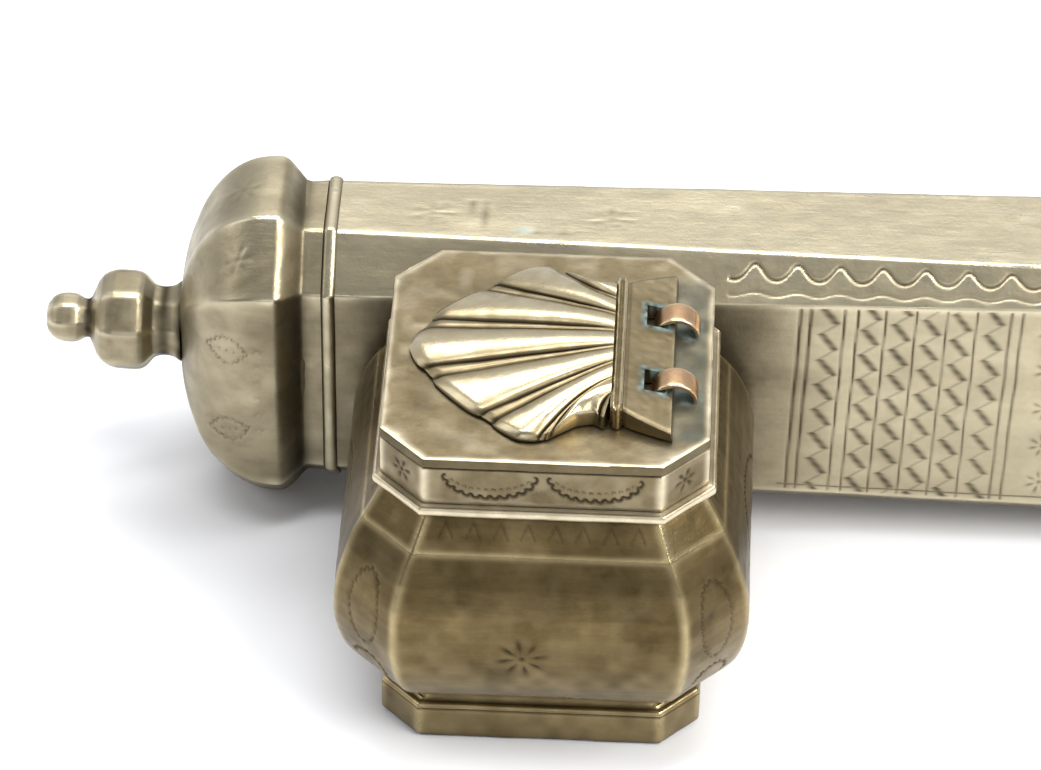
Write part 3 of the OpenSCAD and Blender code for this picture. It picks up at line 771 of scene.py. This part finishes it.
def straps():
    """Two strap loops, each a half circle with legs down through the lid."""
    for name, s in zip(("strap_front", "strap_rear"), STRAPS):
        cy, w = (s[0][1] + s[1][1]) / 2, (s[1][1] - s[0][1]) / 2 - 0.02
        cx, cz, r0, r1 = HX, HZ, 2.02, 2.58
        prof = []
        for t in np.linspace(math.pi, 0, 41):
            prof.append((math.cos(t), math.sin(t), 0.0))
        centre_line = [(-1.0, 0.0, -1.75 + 0.25 * i) for i in range(7)] + prof[1:-1] + [(1.0, 0.0, -0.25 * i)
                for i in range(8)]
        sect = []
        for a in np.linspace(0, 2 * math.pi, 29)[:-1]:
            ca, sa = math.cos(a), math.sin(a)
            e = 0.32
            sect.append((math.copysign(abs(ca) ** e, ca) * w, math.copysign(abs(sa) ** e, sa)))
        rows = []
        for px, pz, down in centre_line:
            ring = []
            for sy, sr in sect:
                r = (r0 + r1) / 2 + sr * (r1 - r0) / 2
                ring.append((cx + px * r, cy + sy * (1 - 0.04 * abs(px)), cz + pz * r + down))
            rows.append(ring)
        P = np.array(rows)
        P = P + 0.02 * np.stack([noise2(P[..., 1] * 1.4, P[..., 2] * 1.4, 41)] * 3,
                                axis=-1) * np.array([0, 1, 0])
        y, z = P[..., 1], P[..., 2]
        foot = np.exp(-np.maximum(0, z - HZ) / 0.45)
        edge = bell(np.abs(y - cy) - w, 0.3)
        build(name + "_loop", P, True, "copper", "case", [name],
              {"wear_and_light": unit(0.9 * edge * (1 - foot) + 0.3 * (z > HZ + 1.7)), "grime_and_shade": 0.55 * foot,
               "green": 0.7 * foot ** 2},
              ends=(True, True), smooth=45)


straps()

# ---------------------------------------------------------------- pen case


def cut_at(x):
    """Size of the tube's corner bevel, wide at the mouth and narrow past the knee."""
    return MOUTH_CUT + (TUBE_CUT - MOUTH_CUT) * min(max((x - MOUTH_X) / KNEE, 0), 1)


def case_pattern(S, A, X, cut):
    """Engraving on the tube: side 0 is the front, 1 the bevel above it, 2 the top."""
    g, wear_and_light = np.zeros_like(A), np.zeros_like(A)
    front, bevel, top = S == 0, S == 1, S == 2
    half = CASE_H / 2 - cut
    slant = X - 0.03 * A - 0.12 * noise2(A * 0.25, X * 0.05, 57)
    fl = np.zeros_like(A)
    for base in (0.0, 112.0):
        for c in (27.4, 28.55, 32.4, 33.9, 37.05, 40.5, 44.0, 47.4, 51.3, 52.6):
            wide = 0.2 if c < 29 or c > 50 else 0.15
            fl = np.maximum(fl, 0.75 * line(slant - c - base, wide))
        for i, c in enumerate((30.75, 35.45, 38.9, 42.35, 45.75, 49.5)):
            off = slant - c - base
            t = ((40.0 + 0.9 * i - A) / 3.75) % 1
            bold = t < 0.62
            at = np.where(bold, -0.85 + 1.7 * t / 0.62, 0.85 - 1.7 * (t - 0.62) / 0.38)
            blow = 0.5 + 0.5 * np.cos(2 * math.pi * 2 * t / 0.62)
            mark = np.where(bold, line(off - at, 0.62) * (0.72 + 0.28 * blow), 0.38 * line(off - at, 0.3))
            fl = np.maximum(fl, np.where(np.abs(off) < 1.6, mark, 0))
    for i, c in enumerate([56.5, 62.5, 68.5, 74.5, 80.5, 86.5, 92.5, 98.5, 104.5, 110.5, 116.5, 122.5, 128.5,
                           134.5]):
        for j in range(-2, 3):
            cy = j * 5.6 + (2.8 if i % 2 else 0)
            if abs(cy) < 13:
                near = (np.abs(X - c) < 2.4) & (np.abs(A - cy) < 2.4)
                if near.any():
                    fl[near] = np.maximum(fl[near], 0.85 * rosette(X[near], A[near], (c, cy), 1.9, 7, 0.3))
    fl = 0.82 * fl * (np.abs(A) < half - 0.5) * (X > 22)
    fl = np.maximum(fl, 0.5 * line(A + half - 1.1, 0.12) * (X > 26))
    g = np.where(front, fl, g)
    # scalloped border along the bevel
    bw = cut * math.sqrt(2) / 2
    ph = ((X - 20.0) / 4.85 % 1 - 0.5) * 4.85
    bump = np.exp(-((ph / 1.25) ** 4))
    wave = -0.05 * bw + 0.62 * bw * bell(ph, 1.2)
    on = (X > 19.5) & (X < 172)
    edge_line = line(A - wave, 0.24)
    low_y = -bw * 0.55 + 0.22 * np.cos(2 * math.pi * ph / 4.85)
    low = line(A - low_y, 0.2)
    bv = np.maximum(0.9 * edge_line, 0.45 * low) * on
    g = np.where(bevel, bv, g)
    lobe = bump * bell(A - wave + 0.9, 0.7) + 0.8 * bell(A - low_y + 0.45, 0.4)
    wear_and_light = np.where(bevel & on, unit(lobe), wear_and_light)
    # top: short bars and rosettes near the lid
    tp = np.zeros_like(A)
    for c in (-10.5, -8.8, -4.6, -2.4, 0.6):
        tp = np.maximum(tp, 0.5 * segment(X, A, (c, -3.6), (c + 0.4, 1.8), 0.2))
    for c in (-14.5, 6.0, 58.0, 118.0, 150.0):
        near = (np.abs(X - c) < 4) & (np.abs(A + 0.6) < 4)
        if near.any():
            tp[near] = np.maximum(tp[near], 0.4 * rosette(X[near], A[near], (c, -0.6), 2.6, 7, 0.35))
    g = np.where(top, tp, g)
    return g, wear_and_light


def tube(name, x0, x1, xs, nodes):
    cols = [150, 26, 44, 10, 40, 8, 24, 14]
    P, S, A, X, W, C = [], [], [], [], [], []
    for x in xs:
        cut = cut_at(x)
        V = case_section(0, cut)
        p, sd, al = rounded(V, 0.85, cols, 8)
        P.append(np.column_stack([np.full(len(p), x), AXIS_Y + p[:, 0], AXIS_Z + p[:, 1]]))
        S.append(sd)
        A.append(al)
        X.append(np.full(len(p), x))
        C.append(np.full(len(p), cut))
        W.append(corner_wear(V, p, 0.6))
    P, S, A, X, W, C = map(np.array, (P, S, A, X, W, C))
    Nn = normals(P, True)
    if np.mean((P[..., 1] - AXIS_Y) * Nn[..., 1] + (P[..., 2] - AXIS_Z) * Nn[..., 2]) < 0:
        Nn = -Nn
    g, wr = case_pattern(S, A, X, C)
    hand = 0.05 * noise2(X * 0.12, A * 0.2 + S * 7, 51) + 0.015 * noise2(X * 0.6, A * 0.6 + S * 3, 52) - 0.065
    P = P + Nn * (hand - CASE_ENGRAVING * g)[..., None]
    wear_and_light = unit(0.8 * W + wr + 0.2 * noise2(X * 0.3, A * 0.4 + S, 53)) * (1 - 0.8 * g)
    grime_and_shade = unit(g * 0.9 + 0.12 * noise2(X * 0.18, A * 0.3 + S * 2, 54))
    green = np.where((S == 2), 0.8 * np.exp(-(((X + 4.0) / 0.9) ** 2) - (((A + 3.2) / 0.7) ** 2)), 0)
    # painted shade on the front face behind and beside the inkwell, added into the grime value
    shade = np.where(S == 0, bell(np.maximum(np.abs(X) - 17.5, 0), 6.0), 0)
    grime_and_shade = unit(grime_and_shade + 0.55 * shade)
    # painted light: the front face brightens towards the right, and the bevel and top are lifted, through the
    # wear value
    painted_light_lift = np.where(S == 0, 0.5 * unit((X - 24.0) / 9.0), 0) + np.where(S == 1, 0.35, 0) + np.where(S == 2,
            0.55, 0)
    wear_and_light = unit(wear_and_light + painted_light_lift * (1 - 0.9 * g))
    inner = []
    for x in (x1, (x0 + x1) / 2, x0):
        V = case_section(-1.0, cut_at(x))
        p, _, _ = rounded(V, 0.4, cols, 8)
        inner.append(np.column_stack([np.full(len(p), x), AXIS_Y + p[:, 0], AXIS_Z + p[:, 1]]))
    P = np.concatenate([P, np.array(inner), P[:1]])
    pad = np.zeros((4, P.shape[1]))
    return build(name, P, True, "case", "case", nodes,
                 {"wear_and_light": np.concatenate([wear_and_light, pad]), "grime_and_shade": np.concatenate([grime_and_shade, pad + 0.45]),
                  "green": np.concatenate([green, pad])})


SPLIT = 60.0
tube("case_near", MOUTH_X, SPLIT,
     np.concatenate([np.linspace(MOUTH_X, 18, 60)[:-1], np.linspace(18, SPLIT, 215)]), ["case_tube"])
tube("case_far", SPLIT, END_X, np.linspace(SPLIT, END_X, 265), [])


def dome_out(d):
    """How far the dome stands proud of the tube at depth d from its rim."""
    if d < 2.2:
        return 0.0
    if d < 5.4:
        return PROUD * math.sin(math.pi / 2 * (d - 2.2) / 3.2) ** 1.3
    return PROUD


def dome_scale(d):
    if d < 5.4:
        return 1.0
    return max(0.0, 1 - ((d - 5.4) / 11.85) ** 2.3) ** (1 / 2.3)


def dome(name, x, side, body, nodes):
    d = np.concatenate([np.linspace(0, 5.4, 46), 5.4 + 11.6 * np.sin(np.linspace(0, math.pi / 2, 90)[1:])])
    cols = [90, 34, 50, 24, 60, 20, 40, 30]
    P, S, A, D, W = [], [], [], [], []
    for di in d:
        V = case_section(dome_out(di) - 0.03, MOUTH_CUT, dome_scale(di))
        p, sd, al = rounded(V, 0.9, cols, 7)
        P.append(np.column_stack([np.full(len(p), x + side * di), AXIS_Y + p[:, 0], AXIS_Z + p[:, 1]]))
        S.append(sd)
        A.append(al)
        D.append(np.full(len(p), di))
        W.append(corner_wear(V, p, 0.8))
    P, S, A, D, W = map(np.array, (P, S, A, D, W))
    Nn = normals(P, True)
    if np.mean((P[..., 1] - AXIS_Y) * Nn[..., 1] + (P[..., 2] - AXIS_Z) * Nn[..., 2]) < 0:
        Nn = -Nn
    g = np.zeros_like(A)
    for k in (0, 4):
        pick = S == k
        up = A if k == 0 else -A
        leaves = np.maximum.reduce([leaf_spray(D, up, (8.7, 5.6), (12.9, 5.6), 1.7),
                                    leaf_spray(D, up, (8.7, -5.6), (12.9, -7.0), 1.3)])
        dots = crescents(D, up, [(7.2, -6), (7.2, 6)], 2.6, 0.4, 0.16, 0)
        g = np.maximum(g, np.where(pick, np.maximum(0.7 * leaves, 0.4 * dots), 0))
    for k in (1, 2, 3):
        g = np.maximum(g, np.where(S == k, 0.3 * rosette(D, A, (9.5, 0), 2.2, 6, 0.3), 0))
    neck = bell(D - 2.6, 1.1)
    hand = 0.10 * noise2(P[..., 1] * 0.16, D * 0.25 + P[..., 2] * 0.16, 61) + 0.03 * noise2(P[..., 1] * 0.6,
            P[..., 2] * 0.6 + D * 0.5, 62) - 0.12
    hand = hand * unit(D / 2.0) * unit((17 - D) / 1.5)
    P = P + Nn * (hand - CASE_ENGRAVING * g)[..., None]
    wear_and_light = unit(0.55 * W + 0.6 * bell(D - 5.6, 1.0) * W + 0.3 * noise2(P[..., 2] * 0.4, D * 0.5, 63))
    grime_and_shade = unit(g * 0.9 + 0.75 * neck + 0.25 * noise2(P[..., 2] * 0.3, P[..., 1] * 0.3, 64) + 0.5
                 * bell(17 - D, 0.8))
    inner = []
    for di in (16.0, 12.5, 8.0, 5.4, 3.0, 0.0):
        w = 1.1 if di > 3.1 else 0.7
        V = case_section(dome_out(di) - w, MOUTH_CUT, dome_scale(di + (0.8 if di > 6 else 0)))
        p, _, _ = rounded(V, 0.7, cols, 7)
        inner.append(np.column_stack([np.full(len(p), x + side * di), AXIS_Y + p[:, 0], AXIS_Z + p[:, 1]]))
    P = np.concatenate([np.array(inner)[::-1][:1], P, np.array(inner)])
    one, six = np.zeros((1, P.shape[1])), np.zeros((6, P.shape[1]))
    return build(name, P, True, "case", body, nodes,
                 {"wear_and_light": np.concatenate([one, wear_and_light, six]),
                  "grime_and_shade": np.concatenate([one + 0.4, grime_and_shade, six + 0.5]),
                  "green": np.zeros(P.shape[:2])}, flip=side < 0, smooth=60)


dome("cap_dome_skin", DOME[1][0], -1, "cap", ["cap_dome"])
dome("end_dome_skin", END[0][0], 1, "case", ["end_dome"])


def knob():
    """Eight-sided finial with softened arrises."""
    x0 = DOME[0][0]
    prof = np.array([[0, 5.0], [0.25, 5.05], [0.9, 4.55], [1.5, 4.35], [2.2, 4.3], [2.8, 4.4], [3.3, 4.6],
                     [3.8, 5.2], [4.3, 5.8],
                     [4.9, 6.15], [5.6, 6.26], [6.7, 6.28], [7.8, 6.24], [8.6, 6.0], [9.3, 5.55], [9.9, 4.7],
                     [10.3, 3.7],
                     [10.7, 2.7], [11.0, 2.4], [11.4, 2.42], [11.8, 2.65], [12.3, 2.98], [13.0, 3.12],
                     [13.9, 3.1], [14.6, 2.95],
                     [15.2, 2.55], [15.7, 1.9], [15.95, 1.2]])
    s = np.concatenate([[0], np.cumsum(np.hypot(np.diff(prof[:, 0]), np.diff(prof[:, 1])))])
    t = np.linspace(0, s[-1], 150)
    d, r = np.interp(t, s, prof[:, 0]), np.interp(t, s, prof[:, 1])
    for _ in range(3):
        r[1:-1] = (r[:-2] + 2 * r[1:-1] + r[2:]) / 4
    P, W = [], []
    for di, ri in zip(d, r):
        a = np.radians(22.5 + 45 * np.arange(8))
        V = ri * np.column_stack([np.cos(a), np.sin(a)])
        p, _, _ = rounded(V, ri * 0.27, [8] * 8, 7)
        p = p * 0.995
        P.append(np.column_stack([np.full(len(p), x0 - di), AXIS_Y + p[:, 0], AXIS_Z + p[:, 1]]))
        W.append(corner_wear(V * 0.97, p, 0.5))
    P, W = np.array(P), np.array(W)
    D = x0 - P[..., 0]
    j = noise2(D * 0.4, P[..., 1] * 0.35 + P[..., 2] * 0.3, 71)
    P[..., 1:] = np.array([AXIS_Y, AXIS_Z]) + (P[..., 1:] - np.array([AXIS_Y, AXIS_Z])) * (1 - 0.012 + 0.010
            * j[..., None])
    groove = bell(D - 2.0, 0.9) + bell(D - 11.0, 0.6) + bell(D, 0.5)
    wear_and_light = unit(0.7 * W + 0.3 * noise2(D * 0.7, P[..., 2] * 0.6, 72)) * (1 - unit(groove))
    build("finial", P, True, "case", "cap", ["cap_finial"],
          {"wear_and_light": wear_and_light, "grime_and_shade": unit(0.85 * groove + 0.2 * noise2(D, P[..., 2], 73)),
           "green": np.zeros_like(W)},
          ends=(True, True), smooth=60)


knob()


def moulding(name, x0, x1, cut, node, notch):
    """Half-round bead round the tube, open where the hinge sits."""
    rows = []
    hw = (x1 - x0) / 2
    for t in np.linspace(0, math.pi, 17):
        V = case_section(0.05 + 0.4 * math.sin(t), cut)
        p, _, _ = rounded(V, 0.6, [110, 20, 60, 20, 110, 20, 60, 20], 5)
        rows.append(np.column_stack([np.full(len(p), x0 + hw * (1 - math.cos(t))), AXIS_Y + p[:, 0],
                                     AXIS_Z + p[:, 1]]))
    P = np.array(rows)
    P = np.concatenate([P, P[:1]])
    y, z = P[0, :, 1], P[0, :, 2]
    if notch:
        gone = (y > AXIS_Y + CASE_D / 2 - 0.3) & (np.abs(z - AXIS_Z) < 8.2)
        k = np.nonzero(gone)[0]
        order = np.concatenate([np.arange(k[-1] + 1, P.shape[1]), np.arange(0, k[0])])
        P = P[:, order]
    t = np.concatenate([np.linspace(0, math.pi, 17), [0]])[:, None] * np.ones((1, P.shape[1]))
    n = noise2(P[..., 2] * 0.5, P[..., 1] * 0.5, 81)
    build(name, P, not notch, "case", "case", [node],
          {"wear_and_light": unit(np.sin(t) ** 3 * (0.8 + 0.3 * n)), "grime_and_shade": unit(1 - np.sin(t) * 1.8),
           "green": np.zeros_like(t)}, flip=False, smooth=60)


RIM = box_mm("case_rim_bead")
moulding("mouth_moulding", RIM[0][0], RIM[0][0] + 1.5, MOUTH_CUT, "case_rim_bead", True)
ENDB = box_mm("case_end_bead")
moulding("end_moulding", ENDB[0][0], ENDB[1][0], TUBE_CUT, "case_end_bead", False)


def wad():
    """Ink-soaked silk: a low lumpy pad of matted fibre."""
    lo, hi = box_mm("silk_wad")
    r = (hi[0] - lo[0]) / 2 - 0.2
    hgt = hi[2] - lo[2]
    u = np.linspace(0, 1, 90)[:, None]
    a = np.linspace(0, 2 * math.pi, 180, endpoint=False)[None]
    prof_r = r * np.sin(np.pi * unit(u)) ** 0.55 * (0.92 + 0.08 * np.cos(3 * a + 1))
    zz = lo[2] + 0.1 + (hgt - 0.2) * (0.5 - 0.5 * np.cos(np.pi * u)) * (0.93 + 0.07
                                                                        * noise2(np.cos(a) * 3 + u * 0,
                                                                                np.sin(a) * 3 + u * 0, 91))
    rr = prof_r * (1 - 0.05 + 0.05 * noise2(a * 6 + u * 0, u * 20 + a * 0, 92))
    P = np.stack([rr * np.cos(a), rr * np.sin(a), zz + 0 * a], axis=-1)
    o = build("silk_pad", P, True, "silk", "case", ["silk_wad"], {"wear_and_light": u + 0 * a}, ends=(True, True),
              smooth=80)


wad()

# ---------------------------------------------------------------- CAD nodes that stay, given the same metal


def dress(node, material, bevel=0.08):
    """Metal and softened edges for a CAD node that is kept."""
    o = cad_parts[node]
    o.data.materials.clear()
    o.data.materials.append(MATERIALS[material])
    w = o.modifiers.new("weld", "WELD")
    w.merge_threshold = 1e-6
    if bevel:
        b = o.modifiers.new("soft_edges", "BEVEL")
        b.width = bevel * MM
        b.segments = 3
        b.limit_method = "ANGLE"
        b.angle_limit = math.radians(35)
        b.harden_normals = False


for node, material in (("well_base", "well"), ("well_saddle", "well"), ("port_ring", "lid"),
                       ("case_lip", "case"),
                       ("case_hinge_leaf", "case"), ("hinge_rivets", "lid"), ("cap_hinge_pin", "lid"),
                       ("cap_hinge_leaf", "case"), ("finial_burr", "case"), ("end_button", "case"),
                       ("end_burr", "case")):
    dress(node, material)

# ---------------------------------------------------------------- floor, light, camera


def stage():
    """Plain pale floor."""
    m = bpy.data.materials.new("white_floor")
    m.use_nodes = True
    t = m.node_tree
    b = t.nodes["Principled BSDF"]
    n = t.nodes.new("ShaderNodeTexNoise")
    n.inputs["Scale"].default_value = 6
    co = t.nodes.new("ShaderNodeTexCoord")
    t.links.new(co.outputs["Object"], n.inputs["Vector"])
    x = t.nodes.new("ShaderNodeMix")
    x.data_type = "RGBA"
    x.inputs[6].default_value = (0.70, 0.705, 0.725, 1)
    x.inputs[7].default_value = (0.75, 0.753, 0.765, 1)
    t.links.new(n.outputs["Fac"], x.inputs[0])
    t.links.new(x.outputs[2], b.inputs["Base Color"])
    b.inputs["Roughness"].default_value = 0.6
    mesh = bpy.data.meshes.new("floor")
    mesh.from_pydata([(-6, -6, 0), (6, -6, 0), (6, 6, 0), (-6, 6, 0)], [], [(0, 1, 2, 3)])
    mesh.materials.append(m)
    o = bpy.data.objects.new("floor", mesh)
    bpy.context.collection.objects.link(o)


def area(name, loc, target, size, power, color=(1, 1, 1)):
    d = bpy.data.lights.new(name, "AREA")
    d.shape = "RECTANGLE"
    d.size, d.size_y = size
    d.energy = power
    d.color = color
    o = bpy.data.objects.new(name, d)
    o.location = loc
    o.rotation_euler = (Vector(target) - Vector(loc)).to_track_quat("-Z", "Y").to_euler()
    bpy.context.collection.objects.link(o)
    return o


stage()
area("top_back", (0.05, 0.40, 0.75), (0.02, 0.02, 0.02), (0.8, 0.35), 4.2)
area("overhead", (0.03, -0.02, 0.95), (0.02, 0.0, 0.02), (0.9, 0.16), 5.5)
area("left", (-0.7, -0.05, 0.5), (0, 0, 0.02), (0.5, 0.6), 1.2)
area("front_fill", (0.1, -0.8, 0.35), (0.02, 0, 0.02), (0.9, 0.35), 1.2)
area("key_right", (0.60, -0.30, 0.62), (0.03, 0, 0.02), (0.5, 0.5), 9.0, (1.0, 0.985, 0.96))

world = bpy.data.worlds.new("studio")
world.use_nodes = True
bg = world.node_tree.nodes["Background"]
bg.inputs["Color"].default_value = (0.93, 0.95, 1.0, 1)
wt = world.node_tree
wco = wt.nodes.new("ShaderNodeTexCoord")
wsep = wt.nodes.new("ShaderNodeSeparateXYZ")
wt.links.new(wco.outputs["Generated"], wsep.inputs[0])
wmap = wt.nodes.new("ShaderNodeMapRange")
wmap.interpolation_type = "SMOOTHSTEP"
for key, val in (("From Min", -0.9), ("From Max", 0.7), ("To Min", 0.30), ("To Max", 0.95)):
    wmap.inputs[key].default_value = val
wt.links.new(wsep.outputs["Y"], wmap.inputs["Value"])
wt.links.new(wmap.outputs[0], bg.inputs["Strength"])
bpy.context.scene.world = world

YAW, PITCH, ROLL = -0.04008, 0.70793, 0.01179
EYE = (0.01491, -0.45213, 0.42467)
SENSOR_WIDTH = 36
FOCAL_PER_WIDTH = 5379.75 / 1041
cam_data = bpy.data.cameras.new("camera")
cam_data.sensor_width = SENSOR_WIDTH
cam_data.lens = FOCAL_PER_WIDTH * SENSOR_WIDTH
cam_data.clip_start = 0.05
cam_data.clip_end = 20
cam = bpy.data.objects.new("camera", cam_data)
forward = Vector((math.sin(YAW) * math.cos(PITCH), math.cos(YAW) * math.cos(PITCH), -math.sin(PITCH)))
right = Vector((math.cos(YAW), -math.sin(YAW), 0))
up = right.cross(forward)
r = right * math.cos(ROLL) + up * math.sin(ROLL)
u = -right * math.sin(ROLL) + up * math.cos(ROLL)
cam.matrix_world = Matrix(((r.x, u.x, -forward.x, EYE[0]), (r.y, u.y, -forward.y, EYE[1]),
                           (r.z, u.z, -forward.z, EYE[2]), (0, 0, 0, 1)))
bpy.context.collection.objects.link(cam)
bpy.context.scene.camera = cam
bpy.context.scene.view_settings.view_transform = "Standard"
